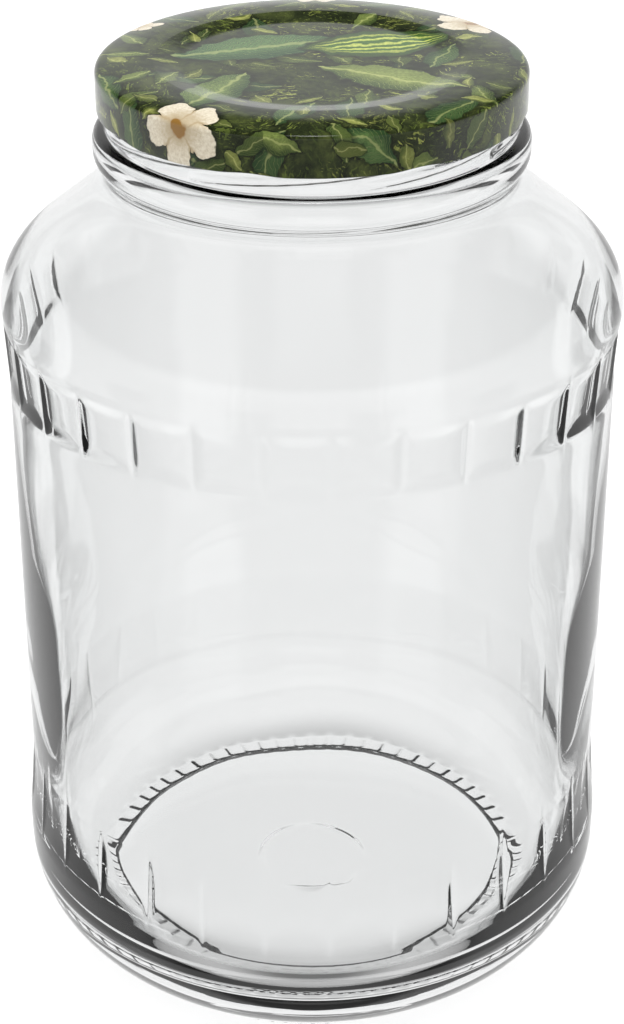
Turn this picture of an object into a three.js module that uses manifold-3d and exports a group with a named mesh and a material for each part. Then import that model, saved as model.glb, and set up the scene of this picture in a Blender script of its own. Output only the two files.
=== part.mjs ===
// A clear glass jar with a printed twist-off metal lid, in millimetres, +Z up.
// The origin is the middle of the ring that the jar stands on.

import * as THREE from "three";
import { mergeVertices } from "three/addons/utils/BufferGeometryUtils.js";
import Module from "manifold-3d";

// Driving dimensions of the glass
const LABEL_RADIUS = 82.5; // plain wall between the two bands of panels
const WALL = 3; // glass thickness of the shoulder and the upper wall
const LOW_WALL = 4.1; // glass thickness at the lower band
const THIN_DOWN_TO = 170; // the wall thickens from this height
const THICK_FROM = 60; // and has its full thickness below this one
const HEEL_RADIUS = 84.4; // widest ring of the heel
const SHOULDER_RADIUS = 83.85; // widest ring of the shoulder
const BAND_SHOULDER = SHOULDER_RADIUS - 0.3; // top of the upper band
const FOOT_RADIUS = 67.1; // outer edge of the standing ring
const NECK_RADIUS = 55; // waist between shoulder and bead
const BEAD_RADIUS = 57.5; // ledge below the lid
const FINISH_RADIUS = 53.9; // wall that carries the threads
const BORE_RADIUS = 50; // narrowest ring inside the neck
const MOUTH_RADIUS = 50.8; // inner edge of the lip
const LIP_TOP = 261.1; // height of the jar without its lid

// Heights of the two bands of panels
const LOWER_BAND = { bottom: 39.1, top: 60.1 };
const UPPER_BAND = { bottom: 176.7, top: 194.6 };

// Panels: shallow flat facets with sloping edges, and a narrow rib left between two of them
const PANELS = 30;
const PANEL_PHASE = THREE.MathUtils.degToRad(3.33); // rib nearest the front, towards +X
const PANEL_DEPTH = 1.15; // at the middle of a panel
const PANEL_SLOPE = 0.375; // rise of a panel's edge for each millimetre
const RIB_WIDTH = 0.6;
const PANEL_CORNER = 1.6; // how much of each corner of the flat floor is cut off
const PANEL_INSET = 0.25; // shallower at the top and bottom edges, which keep clear of the band's ends
const CUTTER_REACH = 1.5; // how far a cutter's sloping edge runs

// Underside: a shallow recess inside the standing ring, below a thick base
const RECESS = { height: 3.2, radius: 59.4, footInner: 61.2 };
const BASE_GLASS = 10.4; // glass thickness over the recess

// Threads: short ridges round the finish, each with its lower end at the left
const THREADS = 8;
const THREAD_PHASE = THREE.MathUtils.degToRad(11); // lower end of the thread nearest the front
const THREAD = {
  rise: 1.25, // how far it stands out of the finish
  sunk: 0.8, // how far it reaches into the glass
  height: 2.6,
  span: THREE.MathUtils.degToRad(62),
  bottom: 246.8,
  lift: 4.8, // climb from one end to the other
};

// Lid
const LID_RADIUS = 56.2;
const LID_BOTTOM = 250.3;
const LID_SHEET = 0.3;
const LID_CREST = 262.3; // ring round the panel, the highest line of the part
const LID_DIP = 1.1; // depth of the panel below the crest
const LID_CURL = { inner: 55.5, height: 1.5 }; // rolled bottom edge

const SEGMENTS = 2 * PANELS; // a facet edge falls on every rib and on the middle of every panel
const TURN_TO_Z = new THREE.Matrix4().makeRotationX(Math.PI / 2);

const wasm = await Module();
wasm.setup();

// Turns a three.js geometry into a solid, without its zero-width triangles.
function toSolid(geometry) {
  const bare = (geometry.index ? geometry.toNonIndexed() : geometry).clone();
  bare.deleteAttribute("normal");
  bare.deleteAttribute("uv");
  const merged = mergeVertices(bare, 1e-4);
  const corners = merged.index.array;
  const kept = [];
  for (let i = 0; i < corners.length; i += 3) {
    const [a, b, c] = corners.slice(i, i + 3);
    if (a !== b && b !== c && c !== a) kept.push(a, b, c);
  }
  const mesh = new wasm.Mesh({
    numProp: 3,
    vertProperties: new Float32Array(merged.attributes.position.array),
    triVerts: new Uint32Array(kept),
  });
  return new wasm.Manifold(mesh);
}

function toGeometry(solid) {
  const mesh = solid.getMesh();
  const geometry = new THREE.BufferGeometry();
  geometry.setAttribute("position", new THREE.BufferAttribute(mesh.vertProperties, mesh.numProp));
  geometry.setIndex(new THREE.BufferAttribute(mesh.triVerts, 1));
  geometry.computeVertexNormals();
  return geometry;
}

// An outline of (radius, height) points, drawn by straight runs and by bends in a few steps.
class Outline {
  constructor(radius, height) {
    this.points = [new THREE.Vector2(radius, height)];
  }

  line(radius, height) {
    this.points.push(new THREE.Vector2(radius, height));
    return this;
  }

  // A bend whose two ends point at the corner (cornerRadius, cornerHeight)
  bend(cornerRadius, cornerHeight, radius, height, steps) {
    const start = this.points[this.points.length - 1];
    const corner = new THREE.Vector2(cornerRadius, cornerHeight);
    const curve = new THREE.QuadraticBezierCurve(start, corner, new THREE.Vector2(radius, height));
    this.points.push(...curve.getPoints(steps).slice(1));
    return this;
  }

  // Spun about Z, with a facet edge on every rib and on the middle of every panel
  spin() {
    const geometry = new THREE.LatheGeometry(this.points, SEGMENTS);
    geometry.applyMatrix4(TURN_TO_Z);
    geometry.rotateZ(PANEL_PHASE);
    return geometry;
  }
}

// The outside of the glass in section, from the middle of the underside up to the lip.
function drawOutside(outline) {
  return outline
    .line(RECESS.radius, RECESS.height)
    .bend(RECESS.radius + 0.8, RECESS.height, RECESS.radius + 1.1, RECESS.height - 0.8, 2)
    .line(RECESS.footInner - 0.1, 0.6)
    .line(RECESS.footInner + 0.6, 0)
    .line(FOOT_RADIUS, 0)
    .bend(HEEL_RADIUS, 11.8, HEEL_RADIUS, 29.3, 5)
    .line(HEEL_RADIUS, LOWER_BAND.bottom - 2.6)
    .line(LABEL_RADIUS, LOWER_BAND.top)
    .line(LABEL_RADIUS, UPPER_BAND.bottom)
    .line(BAND_SHOULDER, UPPER_BAND.top)
    .line(SHOULDER_RADIUS, UPPER_BAND.top + 3.4)
    .bend(SHOULDER_RADIUS, 206.9, 75.3, 213.9, 4)
    .line(NECK_RADIUS + 4.2, 227)
    .bend(NECK_RADIUS, 230.4, NECK_RADIUS, 235, 2)
    .bend(BEAD_RADIUS - 0.1, 235.6, BEAD_RADIUS, 239.5, 2)
    .line(BEAD_RADIUS, 242)
    .bend(BEAD_RADIUS, 243.9, BEAD_RADIUS - 1.7, 244.6, 2)
    .line(FINISH_RADIUS + 0.5, 244.9)
    .line(FINISH_RADIUS, 245.4)
    .line(FINISH_RADIUS, LIP_TOP - 2.4)
    .bend(FINISH_RADIUS, LIP_TOP, FINISH_RADIUS - 2.6, LIP_TOP, 2);
}

// The inside, from the lip down to the middle of the floor.
function drawInside(outline) {
  const inner = LABEL_RADIUS - WALL;
  const lowInner = LABEL_RADIUS - LOW_WALL;
  const floor = RECESS.height + BASE_GLASS;
  return outline
    .line(MOUTH_RADIUS + 0.6, LIP_TOP)
    .line(MOUTH_RADIUS, LIP_TOP - 0.8)
    .line(MOUTH_RADIUS, 243.6)
    .line(BORE_RADIUS, 239)
    .bend(BORE_RADIUS - 0.2, 231.2, 57, 225.4, 2)
    .line(73.8, 212)
    .bend(inner + 2, 205.6, inner + 1.8, 196, 3)
    .line(inner, 179)
    .line(inner, THIN_DOWN_TO)
    .line(lowInner, THICK_FROM)
    .line(lowInner, 42)
    .bend(lowInner, floor, RECESS.footInner - 3, floor, 4)
    .line(0, floor);
}

// The cutter of one panel: a rectangle with cut corners that widens outwards as its edges slope.
function panelCutter(band, radiusLow, radiusHigh) {
  const middle = (radiusLow + radiusHigh) / 2;
  const halfPitch = middle * Math.tan(Math.PI / PANELS);
  const sideDepth = PANEL_DEPTH - middle * (1 - Math.cos(Math.PI / PANELS));
  const w = halfPitch - RIB_WIDTH / 2 - sideDepth / PANEL_SLOPE;
  const h = (band.top - band.bottom) / 2 - (PANEL_DEPTH - PANEL_INSET) / PANEL_SLOPE;
  const c = PANEL_CORNER;
  const corners = [
    [-w + c, -h],
    [w - c, -h],
    [w, -h + c],
    [w, h - c],
    [w - c, h],
    [-w + c, h],
    [-w, h - c],
    [-w, -h + c],
  ];
  const floor = new THREE.Shape(corners.map(([x, y]) => new THREE.Vector2(x, y)));
  const cutter = new THREE.ExtrudeGeometry(floor, {
    depth: 1,
    bevelThickness: CUTTER_REACH,
    bevelSize: CUTTER_REACH / PANEL_SLOPE,
    bevelSegments: 1,
  });
  cutter.translate(0, 0, CUTTER_REACH - PANEL_DEPTH);
  cutter.rotateX(-Math.atan2(radiusLow - radiusHigh, band.top - band.bottom));
  cutter.translate(0, 0, middle);
  // From the panel's own axes to a place on the wall that faces -Y
  cutter.rotateX(Math.PI / 2);
  cutter.translate(0, 0, (band.bottom + band.top) / 2);
  return cutter;
}

// One thread: a straight ridge, bent round the finish as it climbs to the right.
function threadRidge() {
  const half = THREAD.height / 2;
  const section = new THREE.Shape();
  section.moveTo(-half, -THREAD.sunk);
  section.lineTo(half, -THREAD.sunk);
  section.lineTo(half / 3, THREAD.rise);
  section.lineTo(-half / 3, THREAD.rise);
  const ridge = new THREE.ExtrudeGeometry(section, { depth: 1, steps: 5, bevelEnabled: false });
  const place = ridge.attributes.position;
  for (let i = 0; i < place.count; i += 1) {
    const share = place.getZ(i);
    const angle = share * THREAD.span - Math.PI / 2;
    const height = THREAD.bottom + share * THREAD.lift + place.getX(i);
    // The ridge is lower at both of its ends
    const out = place.getY(i);
    const fade = out > 0 ? 0.5 + 0.5 * Math.sin(Math.PI * share) ** 0.5 : 1;
    const radius = FINISH_RADIUS + out * fade;
    place.setXYZ(i, radius * Math.cos(angle), radius * Math.sin(angle), height);
  }
  return ridge;
}

function makeJar() {
  const section = new Outline(0, RECESS.height + 0.3);
  let glass = toSolid(drawInside(drawOutside(section)).spin());
  const bands = [
    panelCutter(LOWER_BAND, HEEL_RADIUS - 0.2, LABEL_RADIUS),
    panelCutter(UPPER_BAND, LABEL_RADIUS, BAND_SHOULDER),
  ];
  for (const cutter of bands) {
    for (let i = 0; i < PANELS; i += 1) {
      const turn = PANEL_PHASE + ((i + 0.5) * 2 * Math.PI) / PANELS;
      glass = glass.subtract(toSolid(cutter.clone().rotateZ(turn)));
    }
  }
  for (let i = 0; i < THREADS; i += 1) {
    const turn = THREAD_PHASE + (i * 2 * Math.PI) / THREADS;
    glass = glass.add(toSolid(threadRidge().rotateZ(turn)));
  }
  const look = { color: 0xe6ecec, roughness: 0.03, metalness: 0, transparent: true, opacity: 0.35 };
  const jar = new THREE.Mesh(toGeometry(glass), new THREE.MeshStandardMaterial(look));
  jar.name = "glass_jar";
  return jar;
}

// The lid in section: the inside of the panel, rim and skirt, the bottom curl, then the outside.
function drawLid() {
  const panelTop = LID_CREST - LID_DIP;
  const wall = LID_RADIUS - LID_SHEET;
  const curlTop = LID_BOTTOM + LID_CURL.height;
  return new Outline(0, panelTop - LID_SHEET)
    .line(34, panelTop - LID_SHEET)
    .line(41, LID_CREST - LID_SHEET)
    .line(51, LID_CREST - 0.3 - LID_SHEET)
    .line(LID_RADIUS - 1.4, LID_CREST - 1.1 - LID_SHEET)
    .line(wall, LID_CREST - 2.7)
    .line(wall, curlTop)
    .line(LID_CURL.inner, curlTop - 0.3)
    .line(LID_CURL.inner, LID_BOTTOM)
    .line(LID_RADIUS, LID_BOTTOM)
    .line(LID_RADIUS, LID_CREST - 2.6)
    .bend(LID_RADIUS, LID_CREST - 1.3, LID_RADIUS - 1.2, LID_CREST - 1, 2)
    .line(51, LID_CREST - 0.3)
    .line(44.5, LID_CREST)
    .line(41, LID_CREST)
    .line(34, panelTop)
    .line(0, panelTop);
}

function makeLid() {
  const solid = toSolid(drawLid().spin());
  const look = { color: 0x33401f, roughness: 0.22, metalness: 0.1 };
  const lid = new THREE.Mesh(toGeometry(solid), new THREE.MeshStandardMaterial(look));
  lid.name = "twist_off_lid";
  return lid;
}

const group = new THREE.Group();
group.add(makeJar());
group.add(makeLid());

export default group;
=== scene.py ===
import math

import bpy
import numpy as np
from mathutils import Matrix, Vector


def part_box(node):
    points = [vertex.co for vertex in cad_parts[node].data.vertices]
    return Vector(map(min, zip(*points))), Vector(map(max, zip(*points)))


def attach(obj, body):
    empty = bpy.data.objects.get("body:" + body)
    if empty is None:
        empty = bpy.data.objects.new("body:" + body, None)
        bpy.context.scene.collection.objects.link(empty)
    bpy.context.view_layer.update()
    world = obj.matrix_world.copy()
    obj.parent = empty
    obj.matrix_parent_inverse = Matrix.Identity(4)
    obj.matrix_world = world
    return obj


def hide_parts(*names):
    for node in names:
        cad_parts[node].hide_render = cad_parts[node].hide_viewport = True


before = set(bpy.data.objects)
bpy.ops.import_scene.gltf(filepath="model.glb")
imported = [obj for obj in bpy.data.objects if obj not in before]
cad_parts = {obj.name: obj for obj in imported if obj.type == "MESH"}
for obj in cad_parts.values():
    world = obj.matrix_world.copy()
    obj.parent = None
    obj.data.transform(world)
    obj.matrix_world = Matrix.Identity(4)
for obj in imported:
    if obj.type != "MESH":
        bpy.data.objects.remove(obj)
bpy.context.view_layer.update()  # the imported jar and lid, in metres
mm = 0.001
fullTurn = 2 * math.pi
_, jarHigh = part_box("glass_jar")
lidLow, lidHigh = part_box("twist_off_lid")


# Camera: above and in front of the jar, looking down at it.

cameraSet = {
    "place": (0.0, -0.6092, 0.4600),
    "pitchDown": 28.52,  # degrees below the horizon
    "lens": 85.85,
    "nearest": 0.01,
}


def makeCamera(s):
    data = bpy.data.cameras.new("jarCamera")
    data.lens = s["lens"]
    data.clip_start = s["nearest"]
    camera = bpy.data.objects.new("jarCamera", data)
    camera.location = s["place"]
    camera.rotation_euler = (math.radians(90 - s["pitchDown"]), 0, 0)
    bpy.context.scene.collection.objects.link(camera)
    bpy.context.scene.camera = camera


makeCamera(cameraSet)
print("camera ready")


# Helpers for nodes.


def newMaterial(name):
    material = bpy.data.materials.new(name)
    material.use_nodes = True
    tree = material.node_tree
    return material, tree, tree.nodes["Principled BSDF"]


def fillSocket(tree, socket, value):
    if isinstance(value, bpy.types.NodeSocket):
        tree.links.new(value, socket)
    else:
        socket.default_value = value


def addNode(tree, kind, inputs=None, **options):
    node = tree.nodes.new(kind)
    for name, value in options.items():
        setattr(node, name, value)
    for name, value in (inputs or {}).items():
        fillSocket(tree, node.inputs[name], value)
    return node


def addMath(tree, operation, a, b=0.0):
    return addNode(tree, "ShaderNodeMath", {0: a, 1: b}, operation=operation).outputs[0]


def addVector(tree, operation, a, b):
    return addNode(tree, "ShaderNodeVectorMath", {0: a, 1: b}, operation=operation).outputs[0]


def scaleVector(tree, vector, factor):
    node = addNode(tree, "ShaderNodeVectorMath", {0: vector, "Scale": factor}, operation="SCALE")
    return node.outputs[0]


def turnVector(tree, vector, angle):
    inputs = {"Vector": vector, "Angle": angle}
    return addNode(tree, "ShaderNodeVectorRotate", inputs, rotation_type="Z_AXIS").outputs[0]


def splitVector(tree, vector):
    return addNode(tree, "ShaderNodeSeparateXYZ", {"Vector": vector}).outputs


def addNoise(tree, vector, inputs, dimensions="2D"):
    inputs = {"Vector": vector, **inputs}
    return addNode(tree, "ShaderNodeTexNoise", inputs, noise_dimensions=dimensions).outputs


def addRamp(tree, factor, stops):
    node = tree.nodes.new("ShaderNodeValToRGB")
    elements = node.color_ramp.elements
    while len(elements) < len(stops):
        elements.new(0.5)
    for element, (place, colour) in zip(elements, stops):
        element.position = place
        element.color = (*colour, 1)
    tree.links.new(factor, node.inputs[0])
    return node.outputs[0]


def mixColour(tree, factor, a, b):
    a, b = ((*colour, 1) if isinstance(colour, tuple) else colour for colour in (a, b))
    return addNode(tree, "ShaderNodeMix", {0: factor, 6: a, 7: b}, data_type="RGBA").outputs[2]


def grey(level):
    return (level, level, level)


def fadeBetween(tree, value, low, high):
    # From 0 at low to 1 at high, softly
    inputs = {"Value": value, "From Min": low, "From Max": high, "To Min": 0.0, "To Max": 1.0}
    return addNode(tree, "ShaderNodeMapRange", inputs, interpolation_type="SMOOTHSTEP").outputs[0]


# Helpers for meshes that are spun from an outline of (radius, height) points in mm.

bendSteps = 24


def smoothStep(low, high, value):
    t = np.clip((value - low) / (high - low), 0, 1)
    return t * t * (3 - 2 * t)


def travelAlong(points):
    return np.concatenate([[0], np.cumsum(np.hypot(*np.diff(points, axis=0).T))])


def lineTo(outline, radius, height):
    outline.append((radius, height))


def bendTo(outline, cornerRadius, cornerHeight, radius, height):
    # A bend whose two ends point at the corner
    start = np.array(outline[-1])
    corner = np.array((cornerRadius, cornerHeight))
    end = np.array((radius, height))
    for i in range(1, bendSteps + 1):
        t = i / bendSteps
        outline.append(tuple((1 - t) ** 2 * start + 2 * t * (1 - t) * corner + t * t * end))


def softenOutline(outline, spacing, rounding):
    # Even steps along the outline, with its corners rounded off; the two ends stay
    points = np.array(outline)
    along = travelAlong(points)
    even = np.arange(0, along[-1], spacing)
    line = np.column_stack([np.interp(even, along, points[:, k]) for k in (0, 1)])
    reach = int(3 * rounding / spacing)
    weights = np.exp(-0.5 * (np.arange(-reach, reach + 1) * spacing / rounding) ** 2)
    weights /= weights.sum()
    before = 2 * line[0] - line[reach:0:-1]
    beyond = 2 * line[-1] - line[-2 : -reach - 2 : -1]
    padded = np.vstack([before, line, beyond])
    smooth = np.column_stack([np.convolve(padded[:, k], weights, "valid") for k in (0, 1)])
    smooth[:, 0] = np.maximum(smooth[:, 0], 0)
    return smooth


def pickRows(line, s, extra=None):
    # Rows close together where the outline bends, further apart where it runs straight
    step = np.diff(line, axis=0)
    heading = np.unwrap(np.arctan2(step[:, 1], step[:, 0]))
    turning = np.abs(np.gradient(heading))
    need = s["spacing"] / s["widest"] + turning * s["perRadian"]
    if extra is not None:
        need += extra(0.5 * (line[1:] + line[:-1]), s) * s["spacing"]
    total = np.concatenate([[0], np.cumsum(need)])
    wanted = np.linspace(0, total[-1], int(total[-1]))
    rows = np.column_stack([np.interp(wanted, total, line[:, k]) for k in (0, 1)])
    rows[0, 0] = rows[-1, 0] = 0  # both ends lie on the axis
    return rows


def outlineNormals(rows):
    # Points out of the solid, for an outline that runs from the underside up the outside
    step = np.gradient(rows, axis=0)
    step /= np.maximum(np.hypot(*step.T), 1e-9)[:, None]
    return np.column_stack([step[:, 1], -step[:, 0]])


def spunMesh(name, rows, turns, shift, lift):
    # Turns run from the front towards +X; shift moves a point out of the solid, lift moves it up
    normals = outlineNormals(rows)
    inner = slice(1, len(rows) - 1)  # the first and last row are points on the axis
    radius = rows[inner, 0][:, None] + normals[inner, 0][:, None] * shift[inner]
    height = rows[inner, 1][:, None] + normals[inner, 1][:, None] * shift[inner] + lift[inner]
    x = radius * np.sin(turns)[None, :]
    y = -radius * np.cos(turns)[None, :]
    body = np.stack([x, y, height], axis=-1).reshape(-1, 3)
    ends = [(0, 0, rows[0, 1]), (0, 0, rows[-1, 1])]
    points = np.vstack([body, ends]) * mm
    count, lines = len(turns), len(rows) - 2
    here = np.arange(count)
    after = (here + 1) % count
    quads = []
    for i in range(lines - 1):
        a, b = i * count, (i + 1) * count
        quads += np.column_stack([a + here, a + after, b + after, b + here]).tolist()
    first, last = len(points) - 2, len(points) - 1
    top = (lines - 1) * count
    caps = [(first, int(k), int(j)) for j, k in zip(here, after)]
    caps += [(last, top + int(j), top + int(k)) for j, k in zip(here, after)]
    mesh = bpy.data.meshes.new(name)
    mesh.from_pydata(points.tolist(), [], quads + caps)
    mesh.polygons.foreach_set("use_smooth", np.ones(len(mesh.polygons), bool))
    mesh.update()
    piece = bpy.data.objects.new(name, mesh)
    bpy.context.scene.collection.objects.link(piece)
    return piece


# The glass: one smooth body with two bands of panels, threads, a bead and a grooved standing ring.
# All sizes are in mm.

glassSet = {
    "rounding": 0.45,
    "baseGlass": 10.4,
    "recessHeight": 3.2,
    "recessCrown": 0.3,  # the underside rises to its middle
    "recessRadius": 59.4,
    "recessBend": (0.8, 1.1),  # out to the bend's corner and to its end
    "recessDrop": 0.8,
    "footInner": 61.2,
    "footEdge": (0.1, 0.6),  # back from the foot's inner edge, and up
    "footRound": (0.1, 1.0),  # on from it, to the bend's corner and to its end
    "footRadius": 67.1,
    "heelRadius": jarHigh.x / mm,
    "heelCorner": 11.8,
    "heelTop": 29.3,
    "heelGap": 2.6,  # below the lower band
    "labelRadius": 82.5,
    "shoulderRadius": 83.8,
    "shoulderFlare": 0.3,
    "shoulderStart": 3.4,  # above the upper band
    "shoulderCorner": 206.9,
    "shoulderEnd": (75.3, 213.9),
    "neckRadius": 55.0,
    "neckFoot": (4.2, 227.0),  # out from the neck, and its height
    "neckCorner": 230.4,
    "neckStart": 233.4,
    "neckEnd": 235.0,
    "beadRadius": 57.5,
    "beadUnder": (0.9, 236.0),  # out from the neck, and its height
    "beadCorner": 237.6,
    "beadStart": 239.8,
    "beadEnd": 242.0,
    "beadRound": 243.9,
    "beadTop": (1.7, 244.6),  # in from the bead, and its height
    "finishRadius": 53.9,
    "finishFoot": (0.5, 244.9),
    "finishStart": 245.5,
    "lipTop": jarHigh.z / mm,
    "lipOuter": 2.4,  # the two rounded edges of the lip
    "lipInner": 1.2,
    "mouthRadius": 50.8,
    "mouthBottom": 243.6,
    "boreRadius": 50.0,
    "boreStart": 239.0,
    "boreCorner": (0.2, 231.2),  # in from the bore, and its height
    "boreFoot": (57.0, 225.4),
    "innerShoulder": (73.8, 212.0),
    "innerCorner": (2.0, 205.6),  # out from the inner wall, and its height
    "innerBend": (1.8, 196.0),  # the same, where that bend ends
    "innerTop": 179.0,
    "wall": 3.0,
    "thinDownTo": 170.0,
    "thickFrom": 60.0,  # the wall is thicker below
    "lowInner": 78.4,
    "cornerTop": 42.0,  # of the inside corner
    "cornerInset": 3.0,
}
lowerBand = {"bottom": 39.1, "top": 60.1, "radius": 83.3, "depth": 0.75, "slope": 0.4, "endSlope": 0.09}
upperBand = {"bottom": 176.7, "top": 194.6, "radius": 83.0, "depth": 1.05, "slope": 0.5, "endSlope": 0.3}
glassRows = {
    "spacing": 0.1,
    "widest": 2.6,
    "perRadian": 7.0,
    # More rows for each mm, and the heights and radii between which they are needed
    "bandEnds": (2.4, (-0.6, 4.2), (80.5, 99.0)),  # heights counted from the ends of a band
    "closer": [
        (1.6, (245.0, 255.0), (52.0, 99.0)),  # threads
        (1.2, (-1.0, 5.0), (58.0, 99.0)),  # standing ring
        (1.5, (-1.0, 10.5), (-1.0, 19.0)),  # middle of the underside
    ],
}
panelSet = {
    "count": 30,
    "phase": math.radians(3.33),  # rib nearest the front
    "rib": 0.4,
    "corner": 1.2,
    "edge": 0.12,  # softness of the edges
    "reach": 3.0,  # how far past its edge a panel is worked out
    "backFrom": math.radians(100),  # towards the back the panels are pressed less sharply
    "backTo": math.radians(125),
    "backSlope": 0.4,  # as shares of the sharp ones
    "backDepth": 0.6,
    "backEdge": 2.5,
    "columns": 24,
    "crowding": 1.6,  # columns crowd towards the ribs
    "margin": 2.0,
}
threadSet = {
    "count": 8,
    "phase": math.radians(11),  # lower end of the thread nearest the front
    "span": math.radians(62),
    "bottom": 246.8,
    "lift": 4.8,
    "rise": 1.25,
    "half": 1.5,
    "flat": 0.25,  # share of the half width
    "between": (243.0, 256.0),  # heights where threads are worked out
}
wallSet = {
    "between": (20.0, 195.0),
    "sides": (0.84, 0.98),  # sine of the turn from the front
    "top": (130.0, 92.0),  # heights at which the thick glass starts and is full
    "low": (58.0, 94.0),
    "thick": 2.0,
    "waveShare": 0.16,
    "waveLengths": (7.3, 15.0, 4.1),  # up the wall
    "waveCounts": (3, 7, 5),  # round the jar
    "shortWave": 0.6,
    "ripple": 0.035,
    "ripples": [(4, 19.0, 0), (7, -13.0, 1), (11, 9.0, 2)],  # count round the jar, length up it, start
    "rippleLow": (24.0, 46.0),
    "rippleTop": (170.0, 190.0),
}
footSet = {
    "below": 12.0,
    "grooves": 65,  # all round the standing ring
    "grooveDepth": 0.5,
    "grooveInner": (61.0, 62.0),
    "grooveOuter": (66.5, 69.5),
    "grooveTop": 5.0,
    "ringRadius": 15.5,  # under the middle
    "ringDepth": 0.45,
    "ringWidth": 0.9,
    "ringUneven": 0.4,
    "ringLobes": 3,
    "dots": 6,
    "dotStart": math.radians(-12.5),
    "dotStep": math.radians(3.2),
    "dotHeight": 2.4,
    "dotRise": 0.28,
    "dotRadius": 0.8,
    "dotSquash": 1.1,
    "dotFrom": 66.0,
}


def glassOutline(s):
    # From the middle of the underside up the outside, over the lip and down the inside
    label, heel, shoulder = s["labelRadius"], s["heelRadius"], s["shoulderRadius"]
    neck, bead, finish = s["neckRadius"], s["beadRadius"], s["finishRadius"]
    mouth, bore, lip, lowInner = s["mouthRadius"], s["boreRadius"], s["lipTop"], s["lowInner"]
    recess, height, foot = s["recessRadius"], s["recessHeight"], s["footInner"]
    floor = height + s["baseGlass"]
    inner = label - s["wall"]
    line = [(0, height + s["recessCrown"])]
    lineTo(line, recess, height)
    bendTo(line, recess + s["recessBend"][0], height, recess + s["recessBend"][1], height - s["recessDrop"])
    lineTo(line, foot - s["footEdge"][0], s["footEdge"][1])
    bendTo(line, foot + s["footRound"][0], 0, foot + s["footRound"][1], 0)
    lineTo(line, s["footRadius"], 0)
    bendTo(line, heel, s["heelCorner"], heel, s["heelTop"])
    lineTo(line, heel, lowerBand["bottom"] - s["heelGap"])
    lineTo(line, label, lowerBand["top"])
    lineTo(line, label, upperBand["bottom"])
    lineTo(line, shoulder - s["shoulderFlare"], upperBand["top"])
    lineTo(line, shoulder, upperBand["top"] + s["shoulderStart"])
    bendTo(line, shoulder, s["shoulderCorner"], *s["shoulderEnd"])
    lineTo(line, neck + s["neckFoot"][0], s["neckFoot"][1])
    bendTo(line, neck, s["neckCorner"], neck, s["neckStart"])
    bendTo(line, neck, s["neckEnd"], neck + s["beadUnder"][0], s["beadUnder"][1])
    bendTo(line, bead, s["beadCorner"], bead, s["beadStart"])
    lineTo(line, bead, s["beadEnd"])
    bendTo(line, bead, s["beadRound"], bead - s["beadTop"][0], s["beadTop"][1])
    lineTo(line, finish + s["finishFoot"][0], s["finishFoot"][1])
    bendTo(line, finish, s["finishFoot"][1], finish, s["finishStart"])
    lineTo(line, finish, lip - s["lipOuter"])
    bendTo(line, finish, lip, finish - s["lipOuter"], lip)
    outside = len(line)
    bendTo(line, mouth, lip, mouth, lip - s["lipInner"])
    lineTo(line, mouth, s["mouthBottom"])
    lineTo(line, bore, s["boreStart"])
    bendTo(line, bore - s["boreCorner"][0], s["boreCorner"][1], *s["boreFoot"])
    lineTo(line, *s["innerShoulder"])
    bend, bendHeight = s["innerBend"]
    bendTo(line, inner + s["innerCorner"][0], s["innerCorner"][1], inner + bend, bendHeight)
    lineTo(line, inner, s["innerTop"])
    lineTo(line, inner, s["thinDownTo"])
    lineTo(line, lowInner, s["thickFrom"])
    lineTo(line, lowInner, s["cornerTop"])
    bendTo(line, lowInner, floor, foot - s["cornerInset"], floor)
    lineTo(line, 0, floor)
    return line, outside


def isBetween(value, limits):
    return (value > limits[0]) & (value < limits[1])


def closerRows(points, s):
    # How many more rows the glass needs at each point
    radius, height = points.T
    extra = np.zeros(len(points))
    more, heights, radii = s["bandEnds"]
    for band in (lowerBand, upperBand):
        for end, way in ((band["bottom"], 1), (band["top"], -1)):
            extra += more * (isBetween((height - end) * way, heights) & isBetween(radius, radii))
    for more, heights, radii in s["closer"]:
        extra += more * (isBetween(height, heights) & isBetween(radius, radii))
    return extra


def panelRelief(turns, height, band, s):
    # Depth of the recessed panels at every height and turn
    pitch = fullTurn / s["count"]
    across = (np.mod(turns - s["phase"], pitch) - pitch / 2)[None, :]
    fromFront = np.abs((turns + math.pi) % fullTurn - math.pi)
    back = smoothStep(s["backFrom"], s["backTo"], fromFront)[None, :]
    squeeze = band["endSlope"] / band["slope"]
    x = np.abs(across) * band["radius"]
    y = np.abs(height[:, None] - (band["bottom"] + band["top"]) / 2) * squeeze
    halfWidth = band["radius"] * pitch / 2 - s["rib"] / 2
    halfHeight = (band["top"] - band["bottom"]) / 2 * squeeze
    pastX = x - (halfWidth - s["corner"])
    pastY = y - (halfHeight - s["corner"])
    outer = np.hypot(np.maximum(pastX, 0), np.maximum(pastY, 0)) - s["corner"]
    inside = -(outer + np.minimum(np.maximum(pastX, pastY), 0))  # distance in from the edge
    sloped = inside * band["slope"] * (1 + (s["backSlope"] - 1) * back)
    chord = band["radius"] * (1 - np.cos(across))
    flat = band["depth"] * (1 + (s["backDepth"] - 1) * back) - chord
    soft = s["edge"] * (1 + (s["backEdge"] - 1) * back)
    deep = -soft * np.logaddexp(-sloped / soft, -flat / soft)  # the lesser of the two, with a soft edge
    return np.where(inside > -s["reach"], soft * np.logaddexp(deep / soft, 0), 0)


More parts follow.
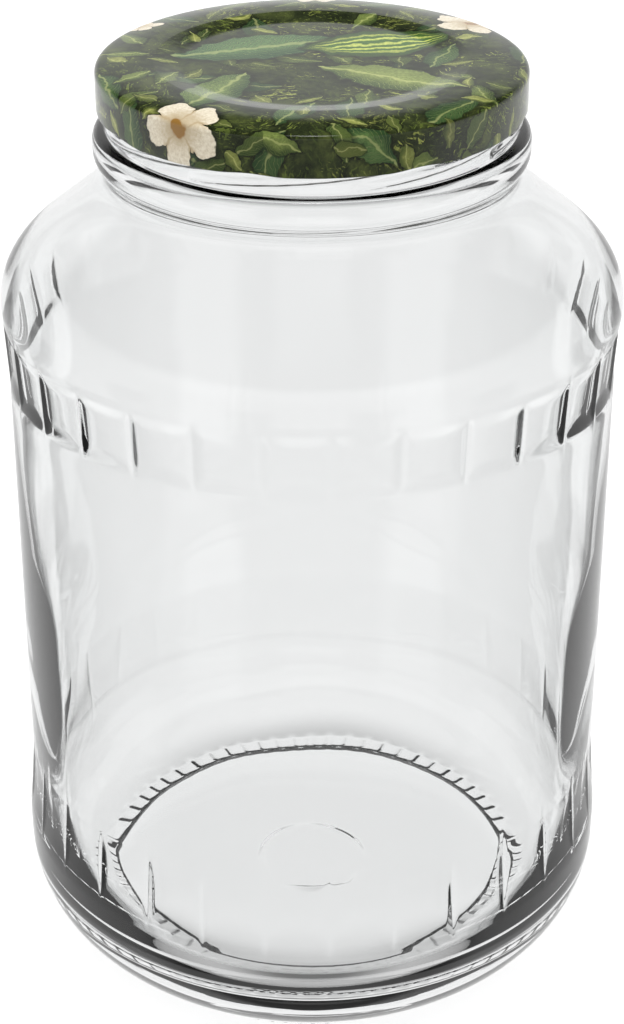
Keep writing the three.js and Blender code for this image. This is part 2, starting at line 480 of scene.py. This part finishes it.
def threadRelief(turns, height, s):
    # Short ridges that climb round the finish
    total = np.zeros((len(height), len(turns)))
    for i in range(s["count"]):
        start = s["phase"] + i * fullTurn / s["count"]
        share = np.mod(turns - start, fullTurn) / s["span"]
        middle = s["bottom"] + share * s["lift"]
        fade = np.sqrt(np.clip(np.sin(np.pi * np.clip(share, 0, 1)), 0, 1))
        side = np.abs(height[:, None] - middle[None, :]) / s["half"]
        ridge = 1 - smoothStep(s["flat"], 1.0, side)
        total = np.maximum(total, s["rise"] * ridge * (fade * (share <= 1))[None, :])
    return total


def wallRelief(turns, height, s):
    # The glass settled unevenly: thicker and wavy towards both sides of the lower wall
    z = height[:, None]
    t = turns[None, :]
    sides = smoothStep(*s["sides"], np.abs(np.sin(t)))
    band = smoothStep(*s["top"], z) * smoothStep(*s["low"], z)
    lengths, counts = s["waveLengths"], s["waveCounts"]
    wave = np.sin(z / lengths[0] + counts[0] * t) * np.cos(counts[1] * t + z / lengths[1])
    wave = wave + s["shortWave"] * np.sin(z / lengths[2] - counts[2] * t)
    thick = s["thick"] * sides * band * (1 + s["waveShare"] * wave)
    ripple = sum(np.sin(count * t + z / length + start) for count, length, start in s["ripples"])
    everywhere = smoothStep(*s["rippleLow"], z) * (1 - smoothStep(*s["rippleTop"], z))
    return thick + s["ripple"] * ripple * everywhere


def footRelief(turns, points, s):
    # Grooves across the standing ring, a shallow ring under the middle and a row of mould dots
    radius = points[:, 0][:, None]
    height = points[:, 1][:, None]
    onRing = smoothStep(*s["grooveInner"], radius) * (1 - smoothStep(*s["grooveOuter"], radius))
    groove = (0.5 - 0.5 * np.cos(turns * s["grooves"])) ** 2
    total = -s["grooveDepth"] * onRing * (height < s["grooveTop"]) * groove[None, :]
    ring = np.exp(-(((radius - s["ringRadius"]) / s["ringWidth"]) ** 2))
    uneven = 1 - s["ringUneven"] + s["ringUneven"] * np.sin(s["ringLobes"] * turns + 1)
    total = total - s["ringDepth"] * ring * uneven[None, :]
    for i in range(s["dots"]):
        turn = s["dotStart"] + i * s["dotStep"]
        across = (turns - turn + math.pi) % fullTurn - math.pi
        away = np.hypot(across[None, :] * radius, (height - s["dotHeight"]) * s["dotSquash"])
        dot = s["dotRise"] * np.exp(-((away / s["dotRadius"]) ** 2))
        total = total + dot * (radius > s["dotFrom"])
    return total


def panelTurns(s):
    # Turns of the mesh columns, closest together at the ribs
    half = s["columns"] // 2
    pitch = fullTurn / s["count"]
    away = (np.arange(half + 1) / half) ** s["crowding"] * pitch / 2
    onePanel = np.concatenate([away[:-1], pitch - away[:0:-1]])
    return np.concatenate([s["phase"] + i * pitch + onePanel for i in range(s["count"])])


def makeGlass(s):
    line, outside = glassOutline(s)
    outsideLength = travelAlong(np.array(line[:outside]))[-1]
    rows = pickRows(softenOutline(line, glassRows["spacing"], s["rounding"]), glassRows, closerRows)
    isOutside = travelAlong(rows) < outsideLength
    turns = panelTurns(panelSet)
    height = rows[:, 1]
    shift = np.zeros((len(rows), len(turns)))
    for band in (lowerBand, upperBand):
        ends = (band["bottom"] - panelSet["margin"], band["top"] + panelSet["margin"])
        near = isOutside & isBetween(height, ends)
        shift[near] -= panelRelief(turns, height[near], band, panelSet)
    near = ~isOutside & isBetween(height, wallSet["between"])
    shift[near] += wallRelief(turns, height[near], wallSet)
    near = isOutside & (height < footSet["below"])
    shift[near] += footRelief(turns, rows[near], footSet)
    near = isOutside & isBetween(height, threadSet["between"])
    shift[near] += threadRelief(turns, height[near], threadSet)
    piece = spunMesh("jarGlass", rows, turns, shift, np.zeros(shift.shape))
    print("glass rows", len(rows), "columns", len(turns))
    return piece


glassLook = {
    "ior": 1.5,
    # A slight tint of the glass, and painted shade: the colour darkens where the glass faces away, which
    # draws dark edges
    "tint": [(0.0, (0.985, 0.99, 0.99)), (0.7, (0.97, 0.98, 0.98)), (1.0, (0.8, 0.82, 0.82))],
}


def glassMaterial(s):
    material, tree, shader = newMaterial("clearGlass")
    shader.inputs["Roughness"].default_value = 0.0
    shader.inputs["IOR"].default_value = s["ior"]
    shader.inputs["Transmission Weight"].default_value = 1.0
    facing = addNode(tree, "ShaderNodeLayerWeight", {"Blend": 0.5}).outputs["Facing"]
    # Painted shade: the glass colour darkens towards its edges, where it faces away from the view
    tree.links.new(addRamp(tree, facing, s["tint"]), shader.inputs["Base Color"])
    return material


glass = makeGlass(glassSet)
glass.data.materials.append(glassMaterial(glassLook))
glass.visible_shadow = False
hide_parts("glass_jar")
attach(glass, "root")
print("glass made")


# The lid: a printed sheet pressed into a dished panel, a raised ring, a domed rim and a skirt.

lidSet = {
    "radius": lidHigh.x / mm,
    "bottom": lidLow.z / mm,
    "crest": lidHigh.z / mm,
    "sheet": 0.3,
    "rounding": 0.12,
    "dip": 1.1,  # of the panel, below the ring
    "panelRadius": 34.0,
    "ringInner": 41.0,
    "ringOuter": 44.5,
    "ringCorner": 49.0,
    "ringUnder": (51.0, 0.3),  # inside of the rim: its start, and how far below the crest
    "rimUnder": (1.3, 3.4),  # its corner and its end below the crest
    "rimTop": (1.5, 0.95),  # in from the skirt, and below the crest
    "rimCorner": 1.25,
    "rimBottom": 2.5,
    "curlInner": 55.5,
    "curlHeight": 1.5,
    "curlInset": 0.35,
    "curlRound": 0.5,
    "columns": 360,
    "lugPhase": math.radians(29),
    "lugPitch": math.radians(45),
    "lugHalf": math.radians(10),
    "lugPull": 0.6,  # how far the bottom edge is drawn up over a lug
    "pullHeight": 3.0,
}
lidRows = {"spacing": 0.05, "widest": 3.0, "perRadian": 9.0}


def lidOutline(s):
    # From the middle of the underside out and down the inside, round the curl and back over the top
    crest, bottom, sheet, radius = s["crest"], s["bottom"], s["sheet"], s["radius"]
    curl, curlTop = s["curlInner"], bottom + s["curlHeight"]
    panel = crest - s["dip"]
    wall = radius - sheet
    line = [(0, panel - sheet)]
    lineTo(line, s["panelRadius"], panel - sheet)
    lineTo(line, s["ringInner"], crest - sheet)
    lineTo(line, s["ringUnder"][0], crest - s["ringUnder"][1] - sheet)
    bendTo(line, wall, crest - s["rimUnder"][0] - sheet, wall, crest - s["rimUnder"][1])
    lineTo(line, wall, curlTop)
    bendTo(line, curl, curlTop, curl, bottom + s["curlHeight"] / 2)
    bendTo(line, curl, bottom, radius - s["curlInset"], bottom)
    bendTo(line, radius, bottom, radius, bottom + s["curlRound"])
    lineTo(line, radius, crest - s["rimBottom"])
    bendTo(line, radius, crest - s["rimCorner"], radius - s["rimTop"][0], crest - s["rimTop"][1])
    bendTo(line, s["ringCorner"], crest, s["ringOuter"], crest)
    lineTo(line, s["ringInner"], crest)
    lineTo(line, s["panelRadius"], panel)
    lineTo(line, 0, panel)
    return line


def makeLid(s):
    rows = pickRows(softenOutline(lidOutline(s), lidRows["spacing"], s["rounding"]), lidRows)
    turns = np.linspace(0, fullTurn, s["columns"], endpoint=False)
    halfPitch = s["lugPitch"] / 2
    fromLug = np.abs((turns - s["lugPhase"]) % s["lugPitch"] - halfPitch)
    pull = s["lugPull"] * smoothStep(halfPitch - s["lugHalf"], halfPitch, fromLug)
    nearEdge = 1 - smoothStep(0, s["pullHeight"], rows[:, 1] - s["bottom"])
    lift = nearEdge[:, None] * pull[None, :]
    piece = spunMesh("printedLid", rows, turns, np.zeros(lift.shape), lift)
    addPrintMap(piece, rows, turns, printSet["sheetWidth"])
    print("lid rows", len(rows))
    return piece


def addPrintMap(piece, rows, turns, width):
    # The flat sheet that the lid was drawn from: distance along the outside, measured from the middle
    step = np.hypot(*np.diff(rows, axis=0).T)
    fromTop = np.concatenate([np.cumsum(step[::-1])[::-1], [0]])
    lowest = int(np.argmin(rows[:, 1]))
    mesh = piece.data
    row = np.arange(1, len(rows) - 1).repeat(len(turns))
    away = np.append(fromTop[row], [0, 0]) / width
    turn = np.append(np.tile(turns, len(rows) - 2), [0, 0])
    flat = np.column_stack([0.5 + away * np.sin(turn), 0.5 - away * np.cos(turn)])
    corners = np.empty(len(mesh.loops), int)
    mesh.loops.foreach_get("vertex_index", corners)
    layer = mesh.uv_layers.new(name="flatSheet")
    layer.data.foreach_set("uv", flat[corners].ravel())
    # Faces before the lowest row are the inside, in the second material
    inside = (np.append(row, [0, len(rows)]) < lowest).astype(int)
    first = np.empty(len(mesh.polygons), int)
    mesh.polygons.foreach_get("loop_start", first)
    mesh.polygons.foreach_set("material_index", inside[corners[first]])
    mesh.update()


# The print: leaves and blossoms over dark, feathery greenery. Places and sizes are in mm.

printSet = {
    "sheetWidth": 200.0,  # across the whole print map
    "ground": [(0.3, (0.006, 0.009, 0.003)), (0.5, (0.02, 0.027, 0.009)), (0.68, (0.06, 0.075, 0.02))],
    "groundNoise": {"Scale": 0.09, "Detail": 8.0, "Roughness": 0.72},
    "bendNoise": {"Scale": 0.16, "Detail": 3.0},
    "bend": 4.5,
    "grainNoise": {"Scale": 1.1, "Detail": 6.0, "Roughness": 0.7},
    "grain": {"From Min": 0.3, "From Max": 0.7, "To Min": 0.45, "To Max": 1.25},
    "peelNoise": {"Scale": 0.35, "Detail": 2.0},
    "peel": {"Strength": 0.12, "Distance": 0.0002},
    "gloss": 0.09,
    "underShade": (0.004, 0.006, 0.002),  # below the edge of every motif
    # Tufts of strokes: spacing, thinness, offset and where a stroke starts in the noise
    "tufts": [(11.0, 1.5, 3.0, 0.56), (7.0, 2.2, 17.0, 0.6)],
    "strokeNoise": {"Scale": 1.0, "Detail": 2.0, "Distortion": 0.6},
    "strokeLength": 0.16,
    "strokeEdge": 0.08,
    "tuftShare": (0.15, 0.4),
    "strokes": [(0.0, (0.035, 0.05, 0.012)), (0.5, (0.10, 0.13, 0.025)), (1.0, (0.30, 0.32, 0.08))],
    # Scattered leaves: spacing, half length, how much of the print they cover, dark and light colour
    "scattered": [
        (23.0, 10.5, 0.75, (0.02, 0.045, 0.015), (0.10, 0.17, 0.05)),
        (15.0, 7.0, 0.6, (0.03, 0.05, 0.012), (0.22, 0.28, 0.07)),
        (9.5, 4.4, 0.4, (0.05, 0.07, 0.015), (0.42, 0.44, 0.12)),
    ],
    "scatterOffset": (41.0, 29.0),  # of the first layer, and from each layer to the next
    "offsetSlant": -1.7,
    "randomness": 0.75,
    "coverEdge": 0.02,
    # Large leaves: place, turn in degrees, half length, dark and light colour
    "leaves": [
        (-14.0, 12.0, 20.0, 24.0, (0.03, 0.07, 0.03), (0.13, 0.22, 0.08)),
        (20.0, -13.0, -28.0, 21.0, (0.05, 0.08, 0.02), (0.30, 0.36, 0.10)),
        (-24.0, -24.0, 65.0, 17.0, (0.03, 0.06, 0.02), (0.20, 0.27, 0.08)),
    ],
    "stripedLeaf": (17.0, 15.0, 12.0, 20.0),
    # Blossoms: place, turn in degrees, radius
    "blossoms": [
        (-33.0, -46.5, 20.0, 11.5),
        (43.0, 31.0, 70.0, 10.0),
        (2.0, 56.0, 5.0, 6.5),
        (-46.0, 30.0, 0.0, 5.5),
    ],
}
# In the motifs below, sizes are shares of the half length or radius
leafSet = {
    "width": 0.4,
    "edge": (-0.01, 0.03),
    "halo": (-0.16, 0.02),
    "haloShade": 0.75,
    "veinSlant": 1.3,
    "veinWidth": 0.1,
    "veinLevel": 0.5,
    "veinShade": 0.6,
    "midrib": (0.045, 0.015),
    "tilt": 0.5,  # one half of a leaf is lighter
    "shade": (-0.1, 0.5),
    "shadeLevel": 0.55,
    "ribColour": (0.5, 0.5, 0.2),
    "smallVeins": 7.0,
    "largeVeins": 9.0,
}
stripedSet = {
    "width": 0.55,
    "narrowest": 0.02,
    "edge": (-0.01, 0.02),
    "halo": (-0.14, 0.0),
    "haloShade": 0.8,
    "stripes": 3.0,
    "stripeEdge": (0.32, 0.1),
    "dark": (0.05, 0.12, 0.02),
    "pale": (0.50, 0.55, 0.12),
    "rim": (0.03, 0.06, 0.015),
    "rimFade": (0.0, 0.3),
}
blossomSet = {
    "halfPetals": 2.5,
    "petalRound": 0.45,
    "petalDepth": 0.5,
    "edge": (-0.01, 0.02),
    "halo": (-0.2, 0.0),
    "haloShade": 0.8,
    "crease": (0.0, 0.35),
    "rays": 9.0,
    "rayShade": (0.3, 0.85),
    "middleShade": (0.1, 0.75),
    "heartEdge": (0.24, 0.17),
    "cream": (0.72, 0.66, 0.53),
    "creamShade": (0.42, 0.33, 0.20),
    "heart": (0.25, 0.13, 0.03),
}


def localPlace(tree, sheet, x, y, turn, size):
    # The print map seen from one motif: its middle at zero and its own size as one
    moved = addVector(tree, "SUBTRACT", sheet, (x, y, 0))
    return scaleVector(tree, turnVector(tree, moved, math.radians(-turn)), 1 / size)


def scatterPlace(tree, sheet, spacing, size, offset, s):
    # The same for motifs strewn over the print, each with its own turn
    shifted = addVector(tree, "ADD", sheet, (offset, s["offsetSlant"] * offset, 0))
    inputs = {"Vector": shifted, "Scale": 1 / spacing, "Randomness": s["randomness"]}
    cell = addNode(tree, "ShaderNodeTexVoronoi", inputs, voronoi_dimensions="2D").outputs
    moved = addVector(tree, "SUBTRACT", shifted, cell["Position"])
    spin, pick, tone = splitVector(tree, cell["Color"])
    turned = turnVector(tree, moved, addMath(tree, "MULTIPLY", spin, fullTurn))
    return scaleVector(tree, turned, 1 / size), pick, tone


def leafBody(tree, x, width):
    # Half the width of a leaf with two points, at each place along it
    return addMath(tree, "MULTIPLY", addMath(tree, "SUBTRACT", 1.0, addMath(tree, "MULTIPLY", x, x)), width)


def layMotif(tree, below, colour, inside, s, share=1.0):
    # Lays a motif over the print, with a dark halo round it
    halo = addMath(tree, "MULTIPLY", fadeBetween(tree, inside, *s["halo"]), share)
    shade = addMath(tree, "MULTIPLY", halo, s["haloShade"])
    shaded = mixColour(tree, shade, below, printSet["underShade"])
    mask = addMath(tree, "MULTIPLY", fadeBetween(tree, inside, *s["edge"]), share)
    return mixColour(tree, mask, shaded, colour)


def leafMotif(tree, below, local, dark, light, grain, veins, s, share=1.0):
    # A pointed leaf with a midrib and slanting veins
    x, y, _ = splitVector(tree, local)
    across = addMath(tree, "ABSOLUTE", y)
    inside = addMath(tree, "SUBTRACT", leafBody(tree, x, s["width"]), across)
    slant = addMath(tree, "SUBTRACT", x, addMath(tree, "MULTIPLY", across, s["veinSlant"]))
    wave = addMath(tree, "PINGPONG", addMath(tree, "MULTIPLY", slant, veins), 0.5)
    vein = addMath(tree, "MULTIPLY", fadeBetween(tree, wave, s["veinWidth"], 0.0), s["veinLevel"])
    vein = addMath(tree, "MAXIMUM", vein, fadeBetween(tree, across, *s["midrib"]))
    tilted = addMath(tree, "ADD", inside, addMath(tree, "MULTIPLY", y, s["tilt"]))
    shade = fadeBetween(tree, tilted, *s["shade"])
    shade = addMath(tree, "MULTIPLY", shade, addMath(tree, "ADD", wave, s["shadeLevel"]))
    shade = addMath(tree, "MULTIPLY", shade, grain)
    colour = mixColour(tree, shade, dark, light)
    rib = mixColour(tree, 0.5, light, s["ribColour"])
    colour = mixColour(tree, addMath(tree, "MULTIPLY", vein, s["veinShade"]), colour, rib)
    return layMotif(tree, below, colour, inside, s, share)


def stripedMotif(tree, below, local, grain, s):
    # A broad leaf whose pale stripes run from end to end
    x, y, _ = splitVector(tree, local)
    half = leafBody(tree, x, s["width"])
    inside = addMath(tree, "SUBTRACT", half, addMath(tree, "ABSOLUTE", y))
    across = addMath(tree, "DIVIDE", y, addMath(tree, "MAXIMUM", half, s["narrowest"]))
    wave = addMath(tree, "PINGPONG", addMath(tree, "MULTIPLY", across, s["stripes"]), 0.5)
    stripe = addMath(tree, "MULTIPLY", fadeBetween(tree, wave, *s["stripeEdge"]), grain)
    colour = mixColour(tree, stripe, s["dark"], s["pale"])
    colour = mixColour(tree, fadeBetween(tree, inside, *s["rimFade"]), s["rim"], colour)
    return layMotif(tree, below, colour, inside, s)


def blossomMotif(tree, below, local, grain, s):
    # Five broad petals round a dark heart
    x, y, _ = splitVector(tree, local)
    away = addNode(tree, "ShaderNodeVectorMath", {0: local}, operation="LENGTH").outputs["Value"]
    turn = addMath(tree, "ARCTAN2", y, x)
    swing = addMath(tree, "COSINE", addMath(tree, "MULTIPLY", turn, s["halfPetals"]))
    petal = addMath(tree, "ABSOLUTE", swing)
    rounded = addMath(tree, "POWER", petal, s["petalRound"])
    reach = addMath(tree, "MULTIPLY", rounded, s["petalDepth"])
    edge = addMath(tree, "ADD", reach, 1 - s["petalDepth"])
    inside = addMath(tree, "SUBTRACT", edge, away)
    ray = addMath(tree, "PINGPONG", addMath(tree, "MULTIPLY", turn, s["rays"]), 0.5)
    depth, level = s["rayShade"]
    shade = addMath(tree, "ADD", addMath(tree, "MULTIPLY", ray, depth), level)
    shade = addMath(tree, "MULTIPLY", fadeBetween(tree, petal, *s["crease"]), shade)
    shade = addMath(tree, "MULTIPLY", shade, fadeBetween(tree, away, *s["middleShade"]))
    shade = addMath(tree, "MULTIPLY", shade, grain)
    colour = mixColour(tree, shade, s["creamShade"], s["cream"])
    colour = mixColour(tree, fadeBetween(tree, away, *s["heartEdge"]), colour, s["heart"])
    return layMotif(tree, below, colour, inside, s)


def addTufts(tree, colour, sheet, grain, s):
    # Feathery strokes, in tufts that each point their own way
    for spacing, thin, offset, keep in s["tufts"]:
        local, pick, tone = scatterPlace(tree, sheet, spacing, 1.0, offset, s)
        drawn = addVector(tree, "MULTIPLY", local, (s["strokeLength"], thin, 1.0))
        stroke = addNoise(tree, drawn, s["strokeNoise"], "3D")["Fac"]
        mask = fadeBetween(tree, stroke, keep, keep + s["strokeEdge"])
        mask = addMath(tree, "MULTIPLY", mask, fadeBetween(tree, pick, *s["tuftShare"]))
        tint = addRamp(tree, addMath(tree, "MULTIPLY", tone, grain), s["strokes"])
        colour = mixColour(tree, mask, colour, tint)
    return colour


def addLeaves(tree, colour, sheet, grain, s):
    first, step = s["scatterOffset"]
    for i, (spacing, size, cover, dark, light) in enumerate(s["scattered"]):
        local, pick, tone = scatterPlace(tree, sheet, spacing, size, first + step * i, s)
        share = fadeBetween(tree, pick, cover, cover - s["coverEdge"])
        toned = mixColour(tree, tone, dark, light)
        colour = leafMotif(tree, colour, local, dark, toned, grain, leafSet["smallVeins"], leafSet, share)
    for x, y, turn, size, dark, light in s["leaves"]:
        local = localPlace(tree, sheet, x, y, turn, size)
        colour = leafMotif(tree, colour, local, dark, light, grain, leafSet["largeVeins"], leafSet)
    return stripedMotif(tree, colour, localPlace(tree, sheet, *s["stripedLeaf"]), grain, stripedSet)


def lidMaterial(s):
    material, tree, shader = newMaterial("printedTinplate")
    flat = addNode(tree, "ShaderNodeUVMap", uv_map="flatSheet").outputs[0]
    middle = addVector(tree, "SUBTRACT", flat, (0.5, 0.5, 0))
    scaled = scaleVector(tree, middle, s["sheetWidth"])
    # Edges drawn by hand: every motif is bent a little
    bend = addNoise(tree, scaled, s["bendNoise"])["Color"]
    off = scaleVector(tree, addVector(tree, "SUBTRACT", bend, grey(0.5)), s["bend"])
    sheet = addVector(tree, "ADD", scaled, off)
    fine = addNoise(tree, scaled, s["grainNoise"])["Fac"]
    grain = addNode(tree, "ShaderNodeMapRange", {"Value": fine, **s["grain"]}).outputs[0]
    patches = addNoise(tree, scaled, s["groundNoise"])["Fac"]
    colour = addRamp(tree, patches, s["ground"])
    colour = addTufts(tree, colour, sheet, grain, s)
    colour = addLeaves(tree, colour, sheet, grain, s)
    for place in s["blossoms"]:
        colour = blossomMotif(tree, colour, localPlace(tree, sheet, *place), grain, blossomSet)
    tree.links.new(colour, shader.inputs["Base Color"])
    shader.inputs["Roughness"].default_value = s["gloss"]
    # The varnish lies a little uneven on the sheet
    peel = addNoise(tree, scaled, s["peelNoise"])["Fac"]
    bump = addNode(tree, "ShaderNodeBump", {"Height": peel, **s["peel"]})
    tree.links.new(bump.outputs[0], shader.inputs["Normal"])
    return material


lacquerSet = {
    "noise": {"Scale": 90.0, "Detail": 4.0},
    "tones": [(0.3, (0.42, 0.41, 0.38)), (0.7, (0.5, 0.49, 0.46))],
    "gloss": 0.35,
}


def lacquerMaterial(s):
    # The inside of the lid: pale lacquer on tinplate
    material, tree, shader = newMaterial("insideLacquer")
    place = addNode(tree, "ShaderNodeTexCoord").outputs["Object"]
    cloud = addNoise(tree, place, s["noise"], "3D")["Fac"]
    tree.links.new(addRamp(tree, cloud, s["tones"]), shader.inputs["Base Color"])
    shader.inputs["Roughness"].default_value = s["gloss"]
    return material


lid = makeLid(lidSet)
lid.data.materials.append(lidMaterial(printSet))
lid.data.materials.append(lacquerMaterial(lacquerSet))
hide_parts("twist_off_lid")
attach(lid, "root")
print("lid made")


# The studio: a pale floor, soft light from above, and a ring of pale panels with dark gaps that
# only the glass sees, which draws its dark edges. Directions are in degrees: turns away from the
# back, and heights above the horizon.

studioSet = {
    "floorSize": 12.0,  # metres
    "floorDrop": 0.0002,
    "floorColour": (0.8, 0.8, 0.8),
    "sunStrength": 4.3,
    "sunAngle": 80,
    # Pale panels: middle, half width, lowest direction and soft edge
    "panels": [
        (0.0, 30.0, -99.0, 1.5),
        (51.0, 6.0, -38.0, 3.0),
        (90.0, 10.0, -17.0, 8.0),
        (135.0, 10.0, -29.0, 8.0),
        (180.0, 10.0, -20.0, 8.0),
    ],
    "panelFoot": 6.0,
    "panelLevel": 0.95,
    "panelTop": 22.0,
    "gapLevel": 0.03,
    "gapTop": (-3.0, -8.0),  # the gaps end here
    "frontGapLevel": 0.25,
    "frontGap": (95.0, 120.0),
    "frontGapTop": (5.0, -5.0),
    "steep": [(-41.0, -60.0, 0.62), (-72.0, -86.0, 0.2)],  # the table gets darker in steep directions
    "roofStart": 30.0,
    "roofLevel": 0.05,
    "wallTo": 100.0,
    "frontFrom": 130.0,
    "frontLevel": 0.3,
    "wallTop": 20.0,
    "wallTopLevel": 0.65,
    "lampHalf": 2.5,  # a small lamp straight overhead
    "lampEdge": 6.0,
    "lampLevel": 9.0,
}


def makeFloor(s):
    half = s["floorSize"] / 2
    corners = [(-half, -half, 0), (half, -half, 0), (half, half, 0), (-half, half, 0)]
    mesh = bpy.data.meshes.new("floor")
    mesh.from_pydata(corners, [], [(0, 1, 2, 3)])
    floor = bpy.data.objects.new("floor", mesh)
    floor.location.z = -s["floorDrop"]
    floor.visible_transmission = False
    floor.visible_glossy = False
    bpy.context.scene.collection.objects.link(floor)
    material, _, shader = newMaterial("paleFloor")
    shader.inputs["Base Color"].default_value = (*s["floorColour"], 1)
    shader.inputs["Roughness"].default_value = 1.0
    shader.inputs["Specular IOR Level"].default_value = 0.0
    mesh.materials.append(material)


def makeSun(s):
    data = bpy.data.lights.new("overhead", "SUN")
    data.energy = s["sunStrength"]
    data.angle = math.radians(s["sunAngle"])
    sun = bpy.data.objects.new("overhead", data)
    sun.visible_glossy = False
    sun.visible_transmission = False
    bpy.context.scene.collection.objects.link(sun)


def seenThroughGlass(tree, up, side, s):
    # Pale panels round the jar, dark gaps between them, a table that darkens below and a dark roof
    gap = 1.0
    for middle, half, lowest, edge in s["panels"]:
        away = addMath(tree, "ABSOLUTE", addMath(tree, "SUBTRACT", side, middle))
        beside = fadeBetween(tree, away, half, half + edge)
        below = fadeBetween(tree, up, lowest, lowest - s["panelFoot"])
        gap = addMath(tree, "MULTIPLY", gap, addMath(tree, "MAXIMUM", beside, below))
    gap = addMath(tree, "MULTIPLY", gap, fadeBetween(tree, up, *s["gapTop"]))
    inFront = fadeBetween(tree, side, *s["frontGap"])
    inFront = addMath(tree, "MULTIPLY", inFront, fadeBetween(tree, up, *s["frontGapTop"]))
    dark = mixColour(tree, inFront, grey(s["gapLevel"]), grey(s["frontGapLevel"]))
    table = mixColour(tree, gap, grey(s["panelLevel"]), dark)
    for start, end, level in s["steep"]:
        table = mixColour(tree, fadeBetween(tree, up, start, end), table, grey(level))
    roof = fadeBetween(tree, up, s["panelTop"], s["roofStart"])
    return mixColour(tree, roof, table, grey(s["roofLevel"]))


def seenInGloss(tree, up, side, s):
    # A pale wall behind, a dimmer front, and a small lamp overhead
    inFront = fadeBetween(tree, side, s["wallTo"], s["frontFrom"])
    level = mixColour(tree, inFront, grey(1.0), grey(s["frontLevel"]))
    level = mixColour(tree, fadeBetween(tree, up, 0.0, s["wallTop"]), level, grey(s["wallTopLevel"]))
    roof = fadeBetween(tree, up, s["wallTop"], s["roofStart"])
    level = mixColour(tree, roof, level, grey(s["roofLevel"]))
    lampStart = 90.0 - s["lampHalf"]
    lamp = fadeBetween(tree, up, lampStart - s["lampEdge"], lampStart)
    return mixColour(tree, lamp, level, grey(s["lampLevel"]))


def makeWorld(s):
    world = bpy.data.worlds.new("studio")
    bpy.context.scene.world = world
    world.use_nodes = True
    tree = world.node_tree
    tree.nodes.clear()
    x, y, z = splitVector(tree, addNode(tree, "ShaderNodeTexCoord").outputs["Generated"])
    up = addMath(tree, "DEGREES", addMath(tree, "ARCSINE", z))
    side = addMath(tree, "ABSOLUTE", addMath(tree, "DEGREES", addMath(tree, "ARCTAN2", x, y)))
    throughGlass = seenThroughGlass(tree, up, side, s)
    light = addNode(tree, "ShaderNodeLightPath").outputs
    colour = mixColour(tree, light["Is Transmission Ray"], seenInGloss(tree, up, side, s), throughGlass)
    colour = mixColour(tree, light["Is Camera Ray"], colour, grey(1.0))
    background = addNode(tree, "ShaderNodeBackground", {"Color": colour, "Strength": 1.0})
    addNode(tree, "ShaderNodeOutputWorld", {"Surface": background.outputs[0]})


bpy.context.scene.view_settings.view_transform = "Standard"
makeFloor(studioSet)
makeSun(studioSet)
makeWorld(studioSet)
print("studio ready")
